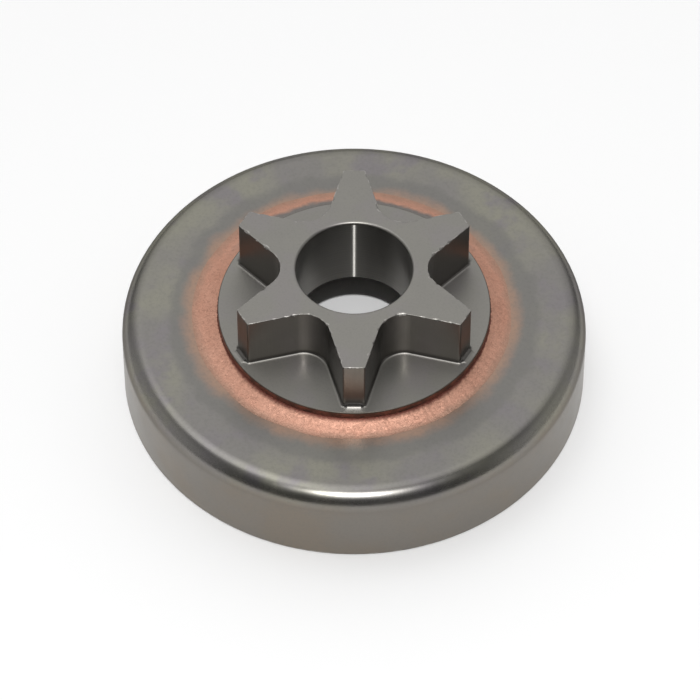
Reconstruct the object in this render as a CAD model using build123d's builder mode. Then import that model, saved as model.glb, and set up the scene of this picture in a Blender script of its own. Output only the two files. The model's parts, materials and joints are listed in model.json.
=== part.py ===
from build123d import *
import os
from math import cos, radians, sin

# Chainsaw clutch drum, in millimetres. The origin is the centre of the open rim that the drum stands on,
# +Z runs along the axis towards the sprocket, and one tooth points along -Y.

# Steel cup
cup_diameter = 52.6  # outside of the side wall
cup_height = 10.0  # from the open rim to the top of the plate
cup_wall = 2.3
plate_thickness = 2.0
corner_radius = 2.3  # outside, where the wall turns into the plate
inner_corner_chamfer = 0.6  # inside, at the end of the friction face
rim_chamfer = 0.3

# Sprocket
bore_diameter = 13.0  # runs on a needle bearing
spigot_diameter = 18.0  # shank through the plate
flange_ledge = 1.05  # how far the flange reaches past the teeth
flange_thickness = 1.7  # above the plate
tooth_count = 6
tooth_height = 6.75  # above the flange
tip_diameter = 28.7  # across the flat ends of opposite teeth
tip_width = 2.45
root_diameter = 16.5  # bottom of the gaps
root_rounding = 3.0  # radius at the bottom of a gap
first_tooth_angle = -90.0  # degrees from +X

# Small edges of the sprocket
foot_radius = 0.35  # where the teeth rise from the flange
tooth_edge_chamfer = 0.2
tip_corner_chamfer = 0.2
flange_edge_chamfer = 0.25
bore_mouth_chamfer = 0.3
bore_lead_in = 1.0  # wide chamfer at the spigot end

# Copper braze around the foot of the flange
braze_width = 2.6
braze_height = 0.8
braze_toe = 0.12  # thickness at the outer edge
braze_hollow = 0.12  # how far the sloping face sags inwards

# Clearance
spigot_clearance = 0.05  # radial gap that the braze is drawn into

# Levels and radii that follow from the sizes above
cup_radius = cup_diameter / 2
friction_radius = cup_radius - cup_wall
plate_top = cup_height
plate_underside = cup_height - plate_thickness
spigot_radius = spigot_diameter / 2
plate_hole_radius = spigot_radius + spigot_clearance
tip_radius = tip_diameter / 2
flange_radius = tip_radius + flange_ledge
flange_top = plate_top + flange_thickness
root_radius = root_diameter / 2
gap_pitch = 360 / tooth_count
first_gap_angle = first_tooth_angle + gap_pitch / 2

# Steel cup: a short cylinder hollowed from below, with a hole for the spigot in its plate
with BuildPart() as drum_cup:
    with BuildSketch():
        Circle(cup_radius)
    extrude(amount=cup_height)
    with BuildSketch():
        Circle(friction_radius)
    extrude(amount=plate_underside, mode=Mode.SUBTRACT)
    Hole(plate_hole_radius)

    outer_corner = drum_cup.edges().group_by(Axis.Z)[-1].sort_by(SortBy.LENGTH)[-1]
    fillet(outer_corner, corner_radius)
    inside_edges = drum_cup.edges().filter_by_position(Axis.Z, plate_underside, plate_underside)
    chamfer(inside_edges.sort_by(SortBy.LENGTH)[-1], inner_corner_chamfer)
    chamfer(drum_cup.edges().group_by(Axis.Z)[0], rim_chamfer)
drum_cup.part.label = "drum_cup"

# Gap between two teeth, lying along +X: a round bottom, two straight flanks and an open mouth
tooth_lean = radians(gap_pitch / 2)
flank_end = (
    tip_radius * cos(tooth_lean) + tip_width / 2 * sin(tooth_lean),
    tip_radius * sin(tooth_lean) - tip_width / 2 * cos(tooth_lean),
)
mouth_reach = tip_diameter
with BuildSketch() as tooth_gap:
    with BuildLine():
        bottom_circle = CenterArc(
            (root_radius + root_rounding, 0), root_rounding, 0, 360, mode=Mode.PRIVATE
        )
        flank = ConstrainedLines(
            bottom_circle, flank_end, selector=lambda lines: lines.sort_by(Axis.X)[0]
        ).edge()
        TangentArc(flank @ 0, (root_radius, 0), tangent=(flank % 0).reverse())
        Polyline(flank_end, (mouth_reach, flank_end[1]), (mouth_reach, 0))
        mirror(about=Plane.XZ)
    make_face()

# Sprocket: spigot, flange and teeth in one piece, bored through
with BuildPart() as spur_sprocket:
    with BuildSketch(Plane.XY.offset(plate_underside)):
        Circle(spigot_radius)
    extrude(amount=plate_thickness)
    with BuildSketch(Plane.XY.offset(plate_top)):
        Circle(flange_radius)
    extrude(amount=flange_thickness)

    with BuildSketch(Plane.XY.offset(flange_top)) as tooth_star:
        RegularPolygon(tip_radius, tooth_count, major_radius=False, rotation=first_gap_angle)
        with PolarLocations(0, tooth_count, start_angle=first_gap_angle):
            add(tooth_gap.sketch, mode=Mode.SUBTRACT)
        tip_corners = tooth_star.vertices().sort_by(SortBy.DISTANCE)[-2 * tooth_count:]
        chamfer(tip_corners, tip_corner_chamfer)
    extrude(amount=tooth_height)

    flange_level = spur_sprocket.edges().filter_by_position(Axis.Z, flange_top, flange_top)
    by_length = flange_level.sort_by(SortBy.LENGTH)
    tooth_feet, flange_rim = by_length[:-1], by_length[-1]
    fillet(tooth_feet, foot_radius)
    chamfer(flange_rim, flange_edge_chamfer)
    chamfer(spur_sprocket.edges().group_by(Axis.Z)[-1], tooth_edge_chamfer)

    Hole(bore_diameter / 2)
    bore_mouth = spur_sprocket.edges().group_by(Axis.Z)[-1].sort_by(SortBy.LENGTH)[-1]
    chamfer(bore_mouth, bore_mouth_chamfer)
    bore_end = spur_sprocket.edges().group_by(Axis.Z)[0].sort_by(SortBy.LENGTH)[0]
    chamfer(bore_end, bore_lead_in)
spur_sprocket.part.label = "spur_sprocket"

# Braze: a thin wedge-shaped ring in the corner between the flange and the plate
with BuildPart() as braze_ring:
    with BuildSketch(Plane.XZ):
        with BuildLine():
            toe = (flange_radius + braze_width, plate_top + braze_toe)
            crest = (flange_radius, plate_top + braze_height)
            Polyline(crest, (flange_radius, plate_top), (flange_radius + braze_width, plate_top), toe)
            SagittaArc(toe, crest, braze_hollow)
        make_face()
    revolve(axis=Axis.Z)
braze_ring.part.label = "braze_ring"

os.makedirs("parts", exist_ok=True)
export_step(drum_cup.part, "parts/drum_cup.step")
export_step(spur_sprocket.part, "parts/spur_sprocket.step")
export_step(braze_ring.part, "parts/braze_ring.step")
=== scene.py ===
import json
from collections import namedtuple
from math import acos, atan2, cos, pi, radians, sin, tan

import bmesh
import bpy
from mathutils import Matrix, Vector, noise


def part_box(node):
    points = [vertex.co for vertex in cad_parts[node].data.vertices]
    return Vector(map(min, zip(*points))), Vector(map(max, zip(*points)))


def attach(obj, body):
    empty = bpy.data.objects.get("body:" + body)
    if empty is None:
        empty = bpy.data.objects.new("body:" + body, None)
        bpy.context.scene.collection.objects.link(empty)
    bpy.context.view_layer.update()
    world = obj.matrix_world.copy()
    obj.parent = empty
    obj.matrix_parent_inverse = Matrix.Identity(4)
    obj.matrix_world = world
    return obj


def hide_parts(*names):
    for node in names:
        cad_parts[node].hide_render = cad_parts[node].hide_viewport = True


# Looks of the chainsaw clutch drum, in metres. The CAD frame stands on its open rim, with +Z along the axis
# towards the sprocket and one tooth pointing along -Y, which is the side that the camera sees.
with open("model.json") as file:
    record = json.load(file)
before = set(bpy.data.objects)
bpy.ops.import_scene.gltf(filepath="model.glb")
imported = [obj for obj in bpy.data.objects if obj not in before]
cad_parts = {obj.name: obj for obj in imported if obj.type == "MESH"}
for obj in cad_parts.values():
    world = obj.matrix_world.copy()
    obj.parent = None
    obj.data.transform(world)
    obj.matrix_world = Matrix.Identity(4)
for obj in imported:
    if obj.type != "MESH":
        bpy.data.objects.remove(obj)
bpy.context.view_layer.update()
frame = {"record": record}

MM = 0.001

# Sizes read from the frame
cup_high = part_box("drum_cup")[1]
sprocket_low, sprocket_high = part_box("spur_sprocket")
braze_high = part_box("braze_ring")[1]
mount_sizes = {mount["name"]: mount["dims"] for mount in frame["record"]["mounts"]}

cup_radius = cup_high[0]
plate_top = cup_high[2]
plate_underside = sprocket_low[2]
flange_radius = sprocket_high[0]
sprocket_top = sprocket_high[2]
braze_radius = braze_high[0]
braze_top = braze_high[2]
bore_radius = mount_sizes["shaft_bore"]["r_mm"] * MM
friction_radius = mount_sizes["shoe_bore"]["r_mm"] * MM

# Sizes that the frame doesn't state, the same as those of the CAD part
corner_radius = 2.3 * MM
inner_corner = 0.6 * MM
rim_edge = 0.3 * MM
plate_hole_radius = 9.05 * MM
spigot_radius = 9.0 * MM
flange_top = plate_top + 1.7 * MM
tooth_count = 6
tip_radius = 14.35 * MM
tip_width = 2.45 * MM
root_radius = 8.25 * MM
root_rounding = 3.0 * MM
first_tooth_angle = radians(-90)
foot_radius = 0.35 * MM
tip_corner = 0.2 * MM
bore_mouth = 0.3 * MM
bore_lead_in = 1.0 * MM

# Small shapes that only the looks have
small_edge = 0.12 * MM  # edges that are only broken
flange_edge = 0.09 * MM
tip_foot = 0.82 * MM  # rounding at the foot of a tooth's flat end, larger than along the flanks
tooth_edge = 0.06 * MM  # rounding of the teeth's top edges
nick_depth = 0.22 * MM  # how much more is rubbed off at a nick
nick_spacing = 0.8 * MM
nick_start, nick_full = 0.1, 0.4  # levels of the noise where a nick starts and where it has its full depth
tip_edge_most = 0.12 * MM  # at the tips, which have a small corner rounding, nicks stay smaller than this
tip_zone = 0.3 * MM  # depth from the tip circle that counts as the tip
tip_zone_slope = 0.15  # how fast the nicks may grow inwards from there
calm_margin = 0.06 * MM  # a smooth line of points lies this far past the deepest nick
braze_hollow = 1.45  # how hollow the slope of the braze is: 1 is straight
braze_toe = 0.01 * MM  # thickness at its outer edge
braze_spread = 0.05 * MM  # its outer edge lies this far outside the CAD one on average
braze_drift = 0.5 * MM  # it has flowed further to one side
braze_drift_turn = radians(125)  # the direction of that side, from +X
braze_waver = 0.25 * MM  # wandering of its outer edge
slow_waver, quick_waver = 6 * MM, 1.2 * MM  # lengths of that wandering
quick_share = 0.3  # how strong the quick wandering is beside the slow one
braze_grain = 0.018 * MM  # height of its set grain
braze_grain_size = 0.5 * MM
braze_edge_fade = 6  # the grain fades out over a sixth of the width at either edge
braze_lap = 0.02 * MM  # how far it bites into the steel
guard = 0.04 * MM  # a line of points this far beside each rounding keeps flat faces flat in the shading
sharp_angle = radians(50)  # faces that meet at a sharper angle aren't shaded as one

# How finely the meshes are divided
cup_turn_steps, cup_corner_steps = 320, 12
braze_turn_steps, braze_width_steps = 900, 20
root_steps, flank_steps, tip_corner_steps, tip_steps = 18, 30, 5, 6
edge_steps, foot_steps = 5, 8


# Mesh helpers

# A corner of a turned section, with the finish of the face after it and how worn its edge is. Its rounding
# has the finish of the face before it.
Corner = namedtuple("Corner", "radius height rounding finish worn", defaults=(0, 0.0))

# A ring of points of a mesh, with the finish of the band of faces that starts there and how worn it is
Ring = namedtuple("Ring", "points finish worn", defaults=(0, 0.0))

# A point of the teeth's outline, with the angle that faces outwards and the rounding at its foot
OutlinePoint = namedtuple("OutlinePoint", "point outward foot")


def direction(turn):
    """Unit vector in the plane at an angle from +X."""
    return Vector((cos(turn), sin(turn)))


def even_turns(count):
    """Angles that divide a full turn evenly."""
    return [2 * pi * step / count for step in range(count)]


def circle(radius, height, turns):
    """Points on a circle round the axis, at the given angles."""
    return [(radius * cos(turn), radius * sin(turn), height) for turn in turns]


def turned_rings(corners, steps, turns):
    """Rings of a turned shape whose closed section has rounded corners, a list of rings for each corner."""
    corner_rings = []
    for index, corner in enumerate(corners):
        here = Vector((corner.radius, corner.height, 0))
        last = corners[index - 1]
        following = corners[(index + 1) % len(corners)]
        before = (Vector((last.radius, last.height, 0)) - here).normalized()
        after = (Vector((following.radius, following.height, 0)) - here).normalized()
        half_angle = before.angle(after) / 2
        reach = corner.rounding / tan(half_angle)
        centre = here + (before + after).normalized() * corner.rounding / sin(half_angle)
        start = (here + before * reach - centre).normalized()
        end = (here + after * reach - centre).normalized()
        lead_in = here + before * (reach + guard)
        lead_out = here + after * (reach + guard)
        rings = [Ring(circle(lead_in.x, lead_in.y, turns), last.finish)]
        for step in range(steps + 1):
            point = centre + start.slerp(end, step / steps) * corner.rounding
            rings.append(Ring(circle(point.x, point.y, turns), last.finish, corner.worn))
        rings.append(Ring(circle(lead_out.x, lead_out.y, turns), corner.finish))
        corner_rings.append(rings)
    return corner_rings


def ring_mesh(name, rings, node, materials):
    """Closed mesh through rings, the last joined to the first, as a piece that stands for a CAD node."""
    around = len(rings[0].points)
    vertices = [point for ring in rings for point in ring.points]
    faces = []
    finishes = []
    for band, ring in enumerate(rings):
        low = band * around
        high = (band + 1) % len(rings) * around
        for step in range(around):
            ahead = (step + 1) % around
            faces.append((low + step, low + ahead, high + ahead, high + step))
            finishes.append(ring.finish)
    mesh = bpy.data.meshes.new(name)
    mesh.from_pydata(vertices, [], faces)
    mesh.polygons.foreach_set("material_index", finishes)
    mesh.polygons.foreach_set("use_smooth", [True] * len(faces))
    worn = mesh.attributes.new("worn", "FLOAT", "POINT")
    worn.data.foreach_set("value", [ring.worn for ring in rings for point in ring.points])
    shape = bmesh.new()
    shape.from_mesh(mesh)
    bmesh.ops.recalc_face_normals(shape, faces=shape.faces)
    shape.to_mesh(mesh)
    shape.free()
    mesh.set_sharp_from_angle(angle=sharp_angle)
    for material in materials:
        mesh.materials.append(material)
    piece = bpy.data.objects.new(name, mesh)
    bpy.context.scene.collection.objects.link(piece)
    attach(piece, "root")
    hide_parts(node)


# Material helpers


def new_material(name, metallic):
    """Material with its node tree and its Principled shader."""
    material = bpy.data.materials.new(name)
    material.use_nodes = True
    shader = material.node_tree.nodes["Principled BSDF"]
    shader.inputs["Metallic"].default_value = metallic
    return material, material.node_tree, shader


def add(tree, kind, inputs, **settings):
    """New shader node. Its inputs are given as values or as the sockets that they come from."""
    node = tree.nodes.new("ShaderNode" + kind)
    for name, value in settings.items():
        setattr(node, name, value)
    for name, value in inputs.items():
        if isinstance(value, bpy.types.NodeSocket):
            tree.links.new(value, node.inputs[name])
        else:
            node.inputs[name].default_value = value
    return node


def calc(tree, operation, *values):
    """Result of a Math node."""
    return add(tree, "Math", dict(enumerate(values)), operation=operation).outputs[0]


def vector_calc(tree, operation, *values):
    """Result of a Vector Math node: a number for a dot product or a length, and else a vector."""
    result = "Value" if operation in ("DOT_PRODUCT", "LENGTH") else "Vector"
    return add(tree, "VectorMath", dict(enumerate(values)), operation=operation).outputs[result]


def step_between(tree, value, low, high):
    """Smooth step of a value, 0 at low and 1 at high."""
    limits = {"Value": value, "From Min": low, "From Max": high}
    return add(tree, "MapRange", limits, interpolation_type="SMOOTHSTEP").outputs["Result"]


def blend_colours(tree, factor, first, second):
    """Mix of two colours."""
    return add(tree, "Mix", {0: factor, 6: first, 7: second}, data_type="RGBA").outputs[2]


def cloud(tree, vector, size, detail=3.0):
    """Noise about 0.5 with features of about the given size."""
    inputs = {"Vector": vector, "Scale": 1 / size, "Detail": detail, "Roughness": 0.55}
    return add(tree, "TexNoise", inputs).outputs["Fac"]


def lines(tree, value, width):
    """Noise about 0.5 that changes along one value only, as tool marks do."""
    inputs = {"W": value, "Scale": 1 / width, "Detail": 3.0, "Roughness": 0.6}
    return add(tree, "TexNoise", inputs, noise_dimensions="1D").outputs["Fac"]


def swing(tree, factor, reach):
    """Noise about 0.5 as a value from -reach to reach."""
    return calc(tree, "MULTIPLY_ADD", factor, 2 * reach, -reach)


def crystals(tree, position, size):
    """Height, in metres, of flat facets of about the given size, each tilted its own way."""
    cells = add(tree, "TexVoronoi", {"Vector": position, "Scale": 1 / size}).outputs
    tilt = vector_calc(tree, "SUBTRACT", cells["Color"], (0.5, 0.5, 0.5))
    offset = vector_calc(tree, "SUBTRACT", position, cells["Position"])
    return vector_calc(tree, "DOT_PRODUCT", tilt, offset)


def object_position(tree):
    """Position on the object."""
    return add(tree, "TexCoord", {}).outputs["Object"]


def coordinate(tree, position, axis):
    """One coordinate of a position."""
    return add(tree, "SeparateXYZ", {"Vector": position}).outputs[axis]


def axis_distance(tree, position, axis_point=(0, 0, 0)):
    """Distance of a position from an upright line through a point."""
    away = vector_calc(tree, "SUBTRACT", position, axis_point)
    return vector_calc(tree, "LENGTH", vector_calc(tree, "MULTIPLY", away, (1, 1, 0)))


def relief(tree, shader, *layers):
    """Gives a shader the normal of layers of (height, depth) one above another."""
    inputs = {}
    for height, depth in layers:
        node = add(tree, "Bump", {"Height": height, "Distance": depth, **inputs})
        inputs = {"Normal": node.outputs["Normal"]}
    tree.links.new(inputs["Normal"], shader.inputs["Normal"])


def worn_attribute(tree):
    """How worn the mesh is at each point."""
    return add(tree, "Attribute", {}, attribute_name="worn").outputs["Fac"]


def worn_edges(tree, colour, position):
    """Colour with its worn edges rubbed brighter, in patches."""
    rubbed = (0.43, 0.415, 0.39, 1)
    patches = step_between(tree, cloud(tree, position, 0.7 * MM), 0.5, 0.62)
    return blend_colours(tree, calc(tree, "MULTIPLY", worn_attribute(tree), patches), colour, rubbed)


def around_axis(tree):
    """Tangent that runs round the axis, along turned or ground lines."""
    return add(tree, "Tangent", {}, direction_type="RADIAL", axis="Z").outputs["Tangent"]


# Materials


def plate_tone(tree, position, broad):
    """Colour of the plate: grey, with faint temper tints."""
    olive = (0.305, 0.296, 0.249, 1)
    grey = (0.265, 0.254, 0.241, 1)
    violet = (0.262, 0.246, 0.248, 1)
    colour = blend_colours(tree, step_between(tree, broad, 0.38, 0.62), olive, grey)
    tinted = step_between(tree, cloud(tree, position, 5 * MM), 0.5, 0.68)
    return blend_colours(tree, tinted, colour, violet)


def cool_ring(tree, colour, distance, patchy):
    """Colour with a cooler ring outside the braze, which has a wandering edge."""
    cool = (0.222, 0.216, 0.203, 1)
    ring_place = calc(tree, "ADD", distance, swing(tree, patchy, 1.2 * MM))
    inside = step_between(tree, ring_place, 21.6 * MM, 20.4 * MM)
    return blend_colours(tree, calc(tree, "MULTIPLY", inside, 0.75), colour, cool)


def wall_tone(tree, broad):
    """Colour of the side wall: browner than the plate, in patches."""
    brown = (0.224, 0.195, 0.161, 1)
    grey_brown = (0.217, 0.2, 0.178, 1)
    return blend_colours(tree, step_between(tree, broad, 0.35, 0.6), brown, grey_brown)


def copper_wash(tree, colour, position, height):
    """Colour with the thin copper that has run out over the plate, past the braze."""
    thin_copper = (0.44, 0.285, 0.208, 1)
    wash_centre = (-0.45 * MM, 0.1 * MM, 0)
    drift = swing(tree, cloud(tree, position, 7 * MM, detail=2.0), 1.6 * MM)
    mottled = swing(tree, cloud(tree, position, 1.2 * MM), 0.45 * MM)
    place = calc(tree, "ADD", axis_distance(tree, position, wash_centre), drift)
    place = calc(tree, "ADD", place, mottled)
    wash = step_between(tree, place, 19.7 * MM, 17.75 * MM)
    on_plate = step_between(tree, height, plate_top - 0.2 * MM, plate_top - 0.1 * MM)
    wash = calc(tree, "MULTIPLY", calc(tree, "MULTIPLY", wash, on_plate), 0.85)
    return blend_colours(tree, wash, colour, thin_copper)


def cup_steel():
    """Satin steel that came out of the brazing furnace: grey, with faint temper tints and a copper wash."""
    material, tree, shader = new_material("cup_steel", metallic=1.0)
    position = object_position(tree)
    height = coordinate(tree, position, "Z")
    distance = axis_distance(tree, position)
    broad = cloud(tree, position, 11 * MM)
    patchy = cloud(tree, position, 3.5 * MM)
    grain = cloud(tree, position, 0.35 * MM, detail=5.0)

    dark_speck = (0.174, 0.17, 0.159, 1)
    on_wall = step_between(tree, height, plate_top - 0.5 * MM, plate_top - corner_radius)
    colour = cool_ring(tree, plate_tone(tree, position, broad), distance, patchy)
    colour = blend_colours(tree, on_wall, colour, wall_tone(tree, broad))
    colour = copper_wash(tree, colour, position, height)
    speckle = calc(tree, "MULTIPLY", step_between(tree, grain, 0.42, 0.70), 0.22)
    colour = blend_colours(tree, speckle, colour, dark_speck)
    colour = worn_edges(tree, colour, position)
    tree.links.new(colour, shader.inputs["Base Color"])

    # The drawn corner is smoother than the plate and the wall
    below_plate = step_between(tree, height, plate_top - 0.03 * MM, plate_top - 0.2 * MM)
    drawn = calc(tree, "MULTIPLY", below_plate, calc(tree, "SUBTRACT", 1.0, on_wall))
    rough = calc(tree, "MULTIPLY_ADD", patchy, 0.12, 0.29)
    rough = calc(tree, "MULTIPLY_ADD", drawn, -0.09, rough)
    tree.links.new(rough, shader.inputs["Roughness"])

    # Scale on the plate and its corner dulls what they mirror at a low angle
    scale_low = plate_top - corner_radius - 0.8 * MM
    scale_full = plate_top - 0.4 * corner_radius
    dulled_zone = step_between(tree, height, scale_low, scale_full)
    low_angle_shine = calc(tree, "MULTIPLY_ADD", dulled_zone, -0.7, 1.0)
    tree.links.new(low_angle_shine, shader.inputs["Specular Tint"])
    relief(tree, shader, (lines(tree, distance, 0.15 * MM), 0.0006 * MM), (grain, 0.0025 * MM))
    return material


def friction_steel():
    """Inside of the cup where the clutch shoes rub: ground bright, with fine lines round it."""
    material, tree, shader = new_material("friction_steel", metallic=1.0)
    position = object_position(tree)
    ground = lines(tree, coordinate(tree, position, "Z"), 0.12 * MM)
    dull = (0.30, 0.29, 0.272, 1)
    bright = (0.40, 0.39, 0.37, 1)
    tree.links.new(blend_colours(tree, ground, dull, bright), shader.inputs["Base Color"])
    rough = calc(tree, "MULTIPLY_ADD", cloud(tree, position, 2.5 * MM), 0.14, 0.26)
    tree.links.new(rough, shader.inputs["Roughness"])
    relief(tree, shader, (ground, 0.0015 * MM))
    tree.links.new(around_axis(tree), shader.inputs["Tangent"])
    shader.inputs["Anisotropic"].default_value = 0.7
    shader.inputs["Anisotropic Rotation"].default_value = 0.25
    return material


def rim_film_and_painted_shade(tree, colour, position, height, distance):
    """Colour with painted shade along the flange's edge, which dims the highlight it catches, and copper
    that has crept up its rim, painted dark red as shade and as a reflection of the braze.
    """
    painted_edge_shade = (0.135, 0.122, 0.105, 1)
    red_film_and_shade = (0.32, 0.16, 0.125, 1)
    brown_film_and_shade = (0.17, 0.108, 0.09, 1)
    # Painted shade on the rounding of the flange's edge
    along_edge = step_between(tree, distance, flange_radius - 0.14 * MM, flange_radius - 0.05 * MM)
    colour = blend_colours(tree, along_edge, colour, painted_edge_shade)
    # Copper film on the rim, its dark red partly painted shade and a painted reflection of the braze
    on_rim = step_between(tree, distance, flange_radius - 0.06 * MM, flange_radius - 0.02 * MM)
    below_edge = step_between(tree, height, flange_top - flange_edge, flange_top - 2.5 * flange_edge)
    uneven = step_between(tree, cloud(tree, position, 1.3 * MM), 0.4, 0.62)
    film_and_shade = blend_colours(tree, uneven, red_film_and_shade, brown_film_and_shade)
    return blend_colours(tree, calc(tree, "MULTIPLY", on_rim, below_edge), colour, film_and_shade)


def flange_steel():
    """Turned and ground faces of the sprocket."""
    material, tree, shader = new_material("flange_steel", metallic=1.0)
    position = object_position(tree)
    height = coordinate(tree, position, "Z")
    distance = axis_distance(tree, position)
    patchy = cloud(tree, position, 3 * MM)
    grain = cloud(tree, position, 0.25 * MM, detail=5.0)

    darker = (0.262, 0.254, 0.236, 1)
    lighter = (0.296, 0.286, 0.26, 1)
    violet = (0.282, 0.266, 0.26, 1)
    dark_speck = (0.185, 0.178, 0.169, 1)
    colour = blend_colours(tree, patchy, darker, lighter)
    tinted = calc(tree, "MULTIPLY", step_between(tree, cloud(tree, position, 5 * MM), 0.45, 0.65), 0.7)
    colour = blend_colours(tree, tinted, colour, violet)
    speckle = calc(tree, "MULTIPLY", step_between(tree, grain, 0.45, 0.75), 0.2)
    colour = blend_colours(tree, speckle, colour, dark_speck)
    colour = worn_edges(tree, colour, position)
    # Painted shade along the flange's edge and on its rim
    colour = rim_film_and_painted_shade(tree, colour, position, height, distance)
    tree.links.new(colour, shader.inputs["Base Color"])

    # The flange is duller than the tops of the teeth
    on_flange = step_between(tree, height, flange_top + 1.0 * MM, flange_top + 0.5 * MM)
    rough = calc(tree, "MULTIPLY_ADD", patchy, 0.12, 0.37)
    rough = calc(tree, "MULTIPLY_ADD", on_flange, 0.08, rough)
    tree.links.new(rough, shader.inputs["Roughness"])
    relief(tree, shader, (lines(tree, distance, 0.09 * MM), 0.0006 * MM), (grain, 0.002 * MM))
    return material


def flank_steel():
    """Cut sides of the teeth, darker than the flat faces, with faint marks along the cut."""
    material, tree, shader = new_material("flank_steel", metallic=1.0)
    position = object_position(tree)
    stretched = vector_calc(tree, "MULTIPLY", position, (1, 1, 0.04))
    marks = cloud(tree, stretched, 0.18 * MM)
    patchy = cloud(tree, position, 2.5 * MM)
    darker = (0.125, 0.118, 0.11, 1)
    lighter = (0.155, 0.147, 0.137, 1)
    dark_mark = (0.10, 0.094, 0.088, 1)
    colour = blend_colours(tree, patchy, darker, lighter)
    colour = blend_colours(tree, calc(tree, "MULTIPLY", marks, 0.3), colour, dark_mark)
    colour = worn_edges(tree, colour, position)
    tree.links.new(colour, shader.inputs["Base Color"])
    rough = calc(tree, "MULTIPLY_ADD", marks, 0.12, 0.26)
    tree.links.new(rough, shader.inputs["Roughness"])
    relief(tree, shader, (marks, 0.002 * MM))
    return material


def bore_steel():
    """Wall of the bore, turned and honed: fine lines round it draw a lamp out into one bright line."""
    material, tree, shader = new_material("bore_steel", metallic=1.0)
    turned = lines(tree, coordinate(tree, object_position(tree), "Z"), 0.14 * MM)
    groove = (0.27, 0.261, 0.244, 1)
    ridge = (0.45, 0.436, 0.411, 1)
    colour = blend_colours(tree, turned, groove, ridge)
    tree.links.new(colour, shader.inputs["Base Color"])
    shader.inputs["Roughness"].default_value = 0.3
    shader.inputs["Specular Tint"].default_value = (0.5, 0.5, 0.5, 1)
    relief(tree, shader, (turned, 0.01 * MM))
    honed = add(tree, "BsdfAnisotropic", {"Color": colour, "Tangent": around_axis(tree)})
    honed.inputs["Roughness"].default_value = 0.3
    honed.inputs["Anisotropy"].default_value = 0.9
    honed_share = 0.2
    both = add(tree, "MixShader", {0: honed_share, 1: shader.outputs["BSDF"], 2: honed.outputs["BSDF"]})
    tree.links.new(both.outputs["Shader"], tree.nodes["Material Output"].inputs["Surface"])
    return material


def flange_painted_shade(tree, colour, distance, near_side, grain):
    """Colour of the braze with a dark brown band of painted shade next to the flange, wider on the near
    side.
    """
    # Dark brown of the painted shade in the corner under the flange's wall
    painted_shade_brown = (0.14, 0.05, 0.038, 1)
    painted_shade_width = calc(tree, "MULTIPLY_ADD", near_side, 0.5 * MM, 0.16 * MM)
    from_flange = calc(tree, "SUBTRACT", distance, flange_radius)
    painted_shade_edge = calc(tree, "ADD", from_flange, swing(tree, grain, 0.15 * MM))
    painted_shade_mask = step_between(tree, painted_shade_edge, painted_shade_width, 0.04 * MM)
    return blend_colours(tree, painted_shade_mask, colour, painted_shade_brown)


def braze_copper():
    """Copper that has flowed and set with a fine, sparkling grain, browner where it is thin."""
    material, tree, shader = new_material("braze_copper", metallic=1.0)
    position = object_position(tree)
    depth = coordinate(tree, position, "Y")
    near_side = step_between(tree, depth, -3 * MM, -13 * MM)
    far_side = step_between(tree, depth, 8 * MM, 14 * MM)
    patchy = cloud(tree, position, 2.2 * MM)
    grain = cloud(tree, position, 0.3 * MM, detail=4.0)
    facets = crystals(tree, position, 0.2 * MM)

    red_copper = (0.585, 0.316, 0.227, 1)
    pale_copper = (0.70, 0.412, 0.308, 1)
    dark_copper = (0.32, 0.15, 0.10, 1)
    thin_copper = (0.45, 0.283, 0.212, 1)
    far_grey = (0.27, 0.25, 0.235, 1)
    colour = blend_colours(tree, patchy, red_copper, pale_copper)
    dark_grain = calc(tree, "MULTIPLY", step_between(tree, grain, 0.55, 0.3), 0.3)
    colour = blend_colours(tree, dark_grain, colour, dark_copper)

    # The "worn" attribute of this piece runs from 0 at the flange to 1 at the outer edge
    ragged = calc(tree, "ADD", worn_attribute(tree), swing(tree, patchy, 0.25))
    thin = step_between(tree, ragged, 0.6, 1.05)
    colour = blend_colours(tree, thin, colour, thin_copper)
    # Painted shade in the corner next to the flange
    colour = flange_painted_shade(tree, colour, axis_distance(tree, position), near_side, grain)

    # On the far side (+Y), the inner part is coloured grey
    dulled_zone = calc(tree, "MULTIPLY", step_between(tree, ragged, 0.66, 0.42), far_side)
    colour = blend_colours(tree, dulled_zone, colour, far_grey)
    tree.links.new(colour, shader.inputs["Base Color"])
    rough = calc(tree, "MULTIPLY_ADD", grain, 0.4, 0.38)
    tree.links.new(rough, shader.inputs["Roughness"])
    facet_share = 0.16  # how much of the facets' tilt shows
    relief(tree, shader, (grain, 0.015 * MM), (facets, facet_share))
    return material


# Pieces


def steel_cup():
    """Cup with a flat plate, a rounded corner and a side wall, open below."""
    outside, rubbed = 0, 1
    rim_worn = 0.6
    corners = [
        Corner(plate_hole_radius, plate_top, small_edge, finish=outside),
        Corner(cup_radius, plate_top, corner_radius, finish=outside),
        Corner(cup_radius, 0, rim_edge, finish=outside, worn=rim_worn),
        Corner(friction_radius, 0, rim_edge, finish=rubbed, worn=rim_worn),
        Corner(friction_radius, plate_underside, inner_corner, finish=outside),
        Corner(plate_hole_radius, plate_underside, small_edge, finish=outside),
    ]
    rings = sum(turned_rings(corners, cup_corner_steps, even_turns(cup_turn_steps)), [])
    ring_mesh("cup", rings, "drum_cup", [cup_steel(), friction_steel()])


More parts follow.
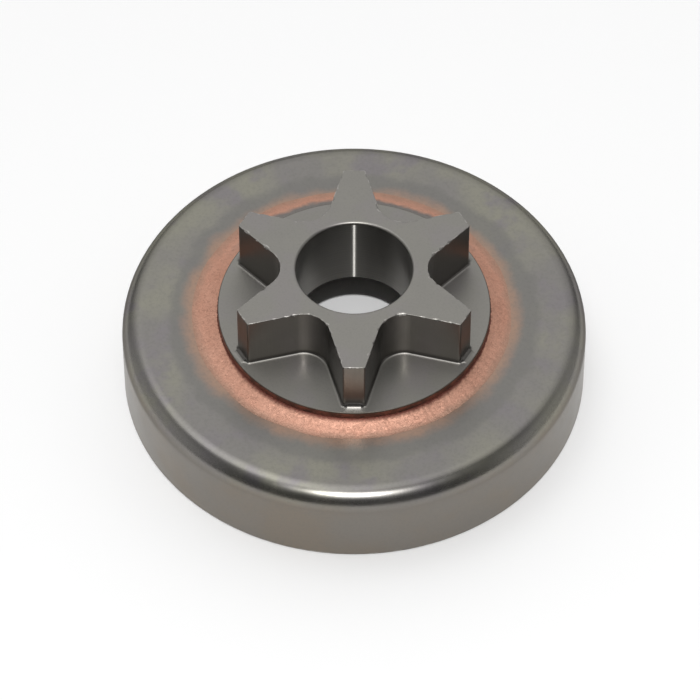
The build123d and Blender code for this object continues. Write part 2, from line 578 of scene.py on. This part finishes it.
def tooth_half():
    """Outline of half a tooth, from the bottom of a gap on +X to the middle of the tooth's end."""
    lean = pi / tooth_count
    tip_out = direction(lean)
    tip_along = direction(lean + pi / 2)
    tip_edge = tip_out * tip_radius - tip_along * tip_width / 2
    root_centre = Vector((root_radius + root_rounding, 0))
    to_edge = tip_edge - root_centre
    touch = atan2(to_edge.y, to_edge.x) + acos(root_rounding / to_edge.length)
    flank_turn = touch - pi
    flank_out = direction(flank_turn)
    corner_centre = tip_edge - (tip_out + flank_out) * tip_corner / (1 + tip_out.dot(flank_out))

    half = []
    for step in range(root_steps + 1):
        outward = flank_turn * step / root_steps
        half.append(OutlinePoint(root_centre - direction(outward) * root_rounding, outward, foot_radius))
    flank_start = half[-1].point
    flank_end = corner_centre + flank_out * tip_corner
    for step in range(1, flank_steps):
        half.append(OutlinePoint(flank_start.lerp(flank_end, step / flank_steps), flank_turn, foot_radius))
    for step in range(tip_corner_steps + 1):
        outward = flank_turn + (lean - flank_turn) * step / tip_corner_steps
        half.append(OutlinePoint(corner_centre + direction(outward) * tip_corner, outward, foot_radius))
    tip_start = half[-1].point
    for step in range(1, tip_steps + 1):
        half.append(OutlinePoint(tip_start.lerp(tip_out * tip_radius, step / tip_steps), lean, tip_foot))
    return half


def star_outline():
    """Outline of all the teeth, anticlockwise."""
    pitch = 2 * pi / tooth_count
    half = tooth_half()
    other_half = [
        OutlinePoint(Vector((place.point.x, -place.point.y)), -place.outward, place.foot)
        for place in reversed(half[1:-1])
    ]
    outline = []
    for tooth in range(tooth_count):
        gap = first_tooth_angle + pitch * (tooth + 0.5)
        for places, turn in ((half, gap), (other_half, gap + pitch)):
            along = direction(turn)
            across = direction(turn + pi / 2)
            for place in places:
                point = along * place.point.x + across * place.point.y
                outline.append(OutlinePoint(point, place.outward + turn, place.foot))
    return outline


def beside(outline, offsets, heights):
    """Points beside the teeth's outline, at a distance and a height for each point."""
    return [
        (place.point.x + offset * cos(place.outward), place.point.y + offset * sin(place.outward), height)
        for place, offset, height in zip(outline, offsets, heights)
    ]


def foot_rings(outline, below, above):
    """Rings of the rounding at the teeth's feet. Its lowest steps have the flange's finish."""
    flange_finish_steps = 3
    feet = [place.foot for place in outline]
    on_flange = beside(outline, [foot + guard for foot in feet], [flange_top] * len(feet))
    rings = [Ring(on_flange, below)]
    for step in range(foot_steps + 1):
        rise = pi / 2 * step / foot_steps
        offsets = [foot * (1 - sin(rise)) for foot in feet]
        heights = [flange_top + foot * (1 - cos(rise)) for foot in feet]
        rings.append(Ring(beside(outline, offsets, heights), below if step < flange_finish_steps else above))
    on_tooth = beside(outline, [0] * len(feet), [flange_top + foot + guard for foot in feet])
    rings.append(Ring(on_tooth, above))
    return rings


def nicked_edge(place):
    """Rounding of the teeth's top edge at a point of their outline, and the most that it may be there."""
    level = noise.noise(Vector((place.point.x, place.point.y, 0)) / nick_spacing)
    nick = min(max((level - nick_start) / (nick_full - nick_start), 0), 1)
    from_tip = max(tip_radius - place.point.length - tip_zone, 0)
    most = min(tooth_edge + nick_depth, tip_edge_most + tip_zone_slope * from_tip)
    return min(tooth_edge + nick_depth * nick, most), most


def top_edge_rings(outline, below, above):
    """Rings of the teeth's top edges, which are rubbed and nicked unevenly."""
    flank_finish_steps = 2
    edges, limits = zip(*[nicked_edge(place) for place in outline])
    tops = [sprocket_top] * len(outline)
    on_flank = beside(outline, [0] * len(outline), [sprocket_top - edge - guard for edge in edges])
    rings = [Ring(on_flank, below)]
    for step in range(edge_steps + 1):
        lean = pi / 2 * step / edge_steps
        offsets = [edge * (cos(lean) - 1) for edge in edges]
        heights = [sprocket_top + edge * (sin(lean) - 1) for edge in edges]
        finish = below if step < flank_finish_steps else above
        rings.append(Ring(beside(outline, offsets, heights), finish, worn=1.0))
    rings.append(Ring(beside(outline, [-edge - guard for edge in edges], tops), above))

    # A smooth line past the deepest nick keeps the long faces to the bore from folding
    rings.append(Ring(beside(outline, [-limit - calm_margin for limit in limits], tops), above))
    return rings


def sprocket():
    """Toothed wheel on a flange, with a spigot below and a bore through it."""
    faces, cut, bored = 0, 1, 2
    outline = star_outline()
    turns = [atan2(place.point.y, place.point.x) for place in outline]

    # The first and last corners only close the section where the teeth stand, so their rings are left out
    corners = [
        Corner(root_radius, sprocket_top, small_edge, finish=faces),
        Corner(bore_radius, sprocket_top, bore_mouth, finish=bored),
        Corner(bore_radius, plate_underside + bore_lead_in, small_edge, finish=faces),
        Corner(bore_radius + bore_lead_in, plate_underside, small_edge, finish=faces),
        Corner(spigot_radius, plate_underside, small_edge, finish=faces),
        Corner(spigot_radius, plate_top, small_edge, finish=faces),
        Corner(flange_radius, plate_top, small_edge, finish=faces),
        Corner(flange_radius, flange_top, flange_edge, finish=faces),
        Corner(root_radius, flange_top, small_edge, finish=faces),
    ]
    rings = sum(turned_rings(corners, edge_steps, turns)[1:-1], [])
    rings += foot_rings(outline, faces, cut)
    rings += top_edge_rings(outline, cut, faces)
    materials = [flange_steel(), flank_steel(), bore_steel()]
    ring_mesh("sprocket", rings, "spur_sprocket", materials)


def braze_toe_radius(turn):
    """Radius of the braze's wandering outer edge."""
    on_edge = Vector((cos(turn), sin(turn), 0)) * braze_radius
    slow = noise.noise(on_edge / slow_waver)
    quick = noise.noise(on_edge / quick_waver)
    mean = braze_radius + braze_spread
    return mean + braze_drift * cos(turn - braze_drift_turn) + braze_waver * (slow + quick_share * quick)


def braze_point(turn, toe, share):
    """Point of the braze's upper face at a share of the way from the flange to the outer edge."""
    crest = braze_top - plate_top
    radius = flange_radius + (toe - flange_radius) * share
    thickness = braze_toe + (crest - braze_toe) * (1 - share) ** braze_hollow
    flat_point = Vector((radius * cos(turn), radius * sin(turn), 0))
    dimension, octave_scale, octaves = 0.8, 2.0, 3
    grain = noise.fractal(flat_point / braze_grain_size, dimension, octave_scale, octaves)
    fade_out = min(1, braze_edge_fade * share, braze_edge_fade * (1 - share))
    thickness += braze_grain * grain * fade_out
    return flat_point.x, flat_point.y, plate_top + max(thickness, 0)


def braze():
    """Copper ring in the corner between the flange and the plate."""
    turns = even_turns(braze_turn_steps)
    toes = [braze_toe_radius(turn) for turn in turns]
    foot = plate_top - braze_lap
    rings = [
        Ring(circle(flange_radius - braze_lap, foot, turns)),
        Ring([(toe * cos(turn), toe * sin(turn), foot) for turn, toe in zip(turns, toes)]),
    ]
    for step in range(braze_width_steps, -1, -1):
        share = step / braze_width_steps
        rings.append(Ring([braze_point(turn, toe, share) for turn, toe in zip(turns, toes)], worn=share))
    rings.append(Ring(circle(flange_radius - braze_lap, braze_top, turns)))
    ring_mesh("braze", rings, "braze_ring", [braze_copper()])


# Floor, light and camera

key_elevation = radians(63)
key_direction = Vector((0, -cos(key_elevation), sin(key_elevation)))
panel_elevation = radians(43)
panel_direction = Vector((0, cos(panel_elevation), sin(panel_elevation)))

# A soft disc of light in the sky, with the degrees from its centre where it ends and where it is full
SkyDisc = namedtuple("SkyDisc", "centre outer inner strength")

room_level = 0.14
front_darkening = -0.055
sky_discs = [
    SkyDisc(panel_direction, outer=53, inner=18, strength=0.67),  # wide panel behind the drum
    SkyDisc(Vector((-0.23, 0.16, 0.95)), outer=24, inner=3, strength=1.5),  # overhead, to the left
    SkyDisc(Vector((-1, 0.1, 0.25)), outer=45, inner=10, strength=0.4),  # panel on the left
    SkyDisc(Vector((1, 0.1, 0.25)), outer=45, inner=10, strength=0.35),  # panel on the right
    SkyDisc(key_direction, outer=20, inner=3, strength=0.8),  # glow round the key lamp
]


def floor():
    """Plain pale floor."""
    pale = (0.93, 0.93, 0.93, 1)
    half = 2.0
    material, _, shader = new_material("floor", metallic=0.0)
    shader.inputs["Base Color"].default_value = pale
    shader.inputs["Roughness"].default_value = 0.9
    corners = [(-half, -half, 0), (half, -half, 0), (half, half, 0), (-half, half, 0)]
    mesh = bpy.data.meshes.new("floor")
    mesh.from_pydata(corners, [], [(0, 1, 2, 3)])
    mesh.materials.append(material)
    plane = bpy.data.objects.new("floor", mesh)
    bpy.context.scene.collection.objects.link(plane)


def surroundings():
    """Grey room with soft discs of light in its sky, darker behind the camera."""
    world = bpy.data.worlds.new("room")
    world.use_nodes = True
    tree = world.node_tree
    sight = add(tree, "TexCoord", {}).outputs["Generated"]
    front = step_between(tree, coordinate(tree, sight, "Y"), 0.0, -0.55)
    low = step_between(tree, coordinate(tree, sight, "Z"), 0.88, 0.62)
    level = calc(tree, "MULTIPLY_ADD", calc(tree, "MULTIPLY", front, low), front_darkening, room_level)
    for disc in sky_discs:
        cosine = vector_calc(tree, "DOT_PRODUCT", sight, disc.centre.normalized())
        nearness = step_between(tree, cosine, cos(radians(disc.outer)), cos(radians(disc.inner)))
        level = calc(tree, "MULTIPLY_ADD", nearness, disc.strength, level)
    tree.links.new(level, tree.nodes["Background"].inputs["Strength"])
    tree.nodes["Background"].inputs["Color"].default_value = (1, 1, 1, 1)
    bpy.context.scene.world = world


def key_lamp():
    """Small round lamp on the camera's side, a metre from the drum."""
    data = bpy.data.lights.new("key", "AREA")
    data.shape = "DISK"
    data.size = 30 * MM
    data.energy = 6.0
    lamp = bpy.data.objects.new("key", data)
    lamp.location = key_direction
    lamp.rotation_euler = key_direction.to_track_quat("Z", "Y").to_euler()
    bpy.context.scene.collection.objects.link(lamp)


def camera():
    """Camera of the photograph: straight in front of a tooth, looking down."""
    looks_over = Vector((0, 0, 10.035)) * MM
    elevation = radians(50.80)
    distance = 538.5 * MM
    frame_centre = Vector((-0.456, -3.061, 7.54)) * MM
    data = bpy.data.cameras.new("camera")
    data.lens = 244.83
    data.sensor_width = 36
    data.clip_start = 10 * MM
    eye = bpy.data.objects.new("camera", data)
    eye.location = looks_over + Vector((0, -cos(elevation), sin(elevation))) * distance
    eye.rotation_euler = (frame_centre - eye.location).to_track_quat("-Z", "Y").to_euler()
    bpy.context.scene.collection.objects.link(eye)
    bpy.context.scene.camera = eye


steel_cup()
sprocket()
braze()
floor()
surroundings()
key_lamp()
camera()
bpy.context.scene.view_settings.view_transform = "Standard"
